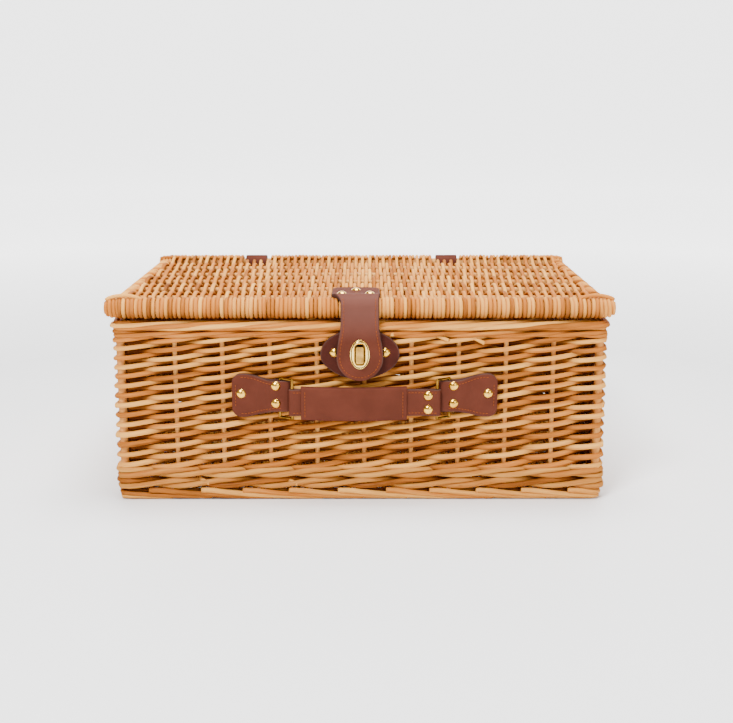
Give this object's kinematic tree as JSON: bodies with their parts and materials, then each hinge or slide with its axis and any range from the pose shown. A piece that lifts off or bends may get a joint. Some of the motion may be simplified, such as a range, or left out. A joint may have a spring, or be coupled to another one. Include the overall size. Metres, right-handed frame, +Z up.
{
  "type": "wicker picnic hamper",
  "caption": "Rectangular woven willow hamper with a hinged woven lid, leather strap with a brass turn lock, and a riveted leather carrying handle.",
  "frame": {"origin": "centre of the foot border's underside, on the surface the hamper stands on", "axes": "+X along the width towards the right end seen from the front, -Y towards the front with the strap and handle, +Z up"},
  "size_m": [0.48, 0.3566, 0.2013],
  "materials": {
    "woven_willow": "peeled and varnished willow rods, satin",
    "stick_willow": "varnished willow sticks, satin",
    "strap_leather": "smooth reddish-brown leather with stitched edges",
    "keeper_leather": "smooth dark burgundy leather",
    "brass": "polished bright brass"
  },
  "bodies": {
    "basket": {"foot_border": "woven_willow", "base_sticks": "stick_willow", "base_weave": "woven_willow", "corner_posts": "stick_willow", "side_stakes": "stick_willow", "lower_wale": "woven_willow", "front_siding": "woven_willow", "back_siding": "woven_willow", "left_siding": "woven_willow", "right_siding": "woven_willow", "upper_wale": "woven_willow", "rim_border": "woven_willow", "keeper_patch": "keeper_leather", "keeper_rivets": "brass", "keeper_washers": "brass", "turnlock_plate": "brass", "left_handle_tab": "strap_leather", "right_handle_tab": "strap_leather", "left_tab_rivets": "brass", "right_tab_rivets": "brass", "left_tab_washers": "brass", "right_tab_washers": "brass", "left_hinge_strap": "strap_leather", "right_hinge_strap": "strap_leather", "hinge_rivets": "brass", "hinge_washers": "brass"},
    "lid": {"lid_sticks": "stick_willow", "lid_front_stick": "stick_willow", "lid_back_stick": "stick_willow", "lid_weave": "woven_willow", "lid_left_border": "woven_willow", "lid_right_border": "woven_willow", "lid_corner_bindings": "woven_willow", "clasp_strap_root": "strap_leather", "clasp_root_rivets": "brass", "clasp_root_washers": "brass"},
    "flap": {"clasp_flap": "strap_leather", "eyelet_plate": "brass", "eyelet_back_plate": "brass"},
    "knob": {"turn_knob": "brass"},
    "handle": {"handle_strap": "strap_leather", "handle_grip": "strap_leather", "handle_rivets": "brass"},
    "left_ring": {"left_ring": "brass"},
    "right_ring": {"right_ring": "brass"}
  },
  "joints": [
    {"name": "lid_hinge", "type": "hinge", "parent": "basket", "child": "lid", "pos_m": [0, 0.1635, 0.188], "axis": [-1, 0, 0], "range_deg": [0, 180]},
    {"name": "strap_bend", "type": "hinge", "parent": "lid", "child": "flap", "pos_m": [0, -0.1734, 0.1974], "axis": [-1, 0, 0], "range_deg": [0, 120]},
    {"name": "knob_turn", "type": "hinge", "parent": "basket", "child": "knob", "pos_m": [0, -0.175, 0.146], "axis": [0, -1, 0], "range_deg": [0, 90]},
    {"name": "handle_lift", "type": "slide", "parent": "basket", "child": "handle", "axis": [0, -1, 0], "range_m": [0, 0.00544]},
    {"name": "left_ring_swing", "type": "hinge", "parent": "handle", "child": "left_ring", "pos_m": [-0.0638, -0.1787, 0.103], "axis": [0, 0, -1], "range_deg": [0, 34.52]},
    {"name": "right_ring_swing", "type": "hinge", "parent": "handle", "child": "right_ring", "pos_m": [0.0728, -0.1787, 0.103], "axis": [0, 0, 1], "range_deg": [0, 34.52]}
  ],
  "couplings": [
    {"joint": "left_ring_swing", "follows": "handle_lift", "rad_per_m": 110.65},
    {"joint": "right_ring_swing", "follows": "handle_lift", "rad_per_m": 110.65}
  ]
}
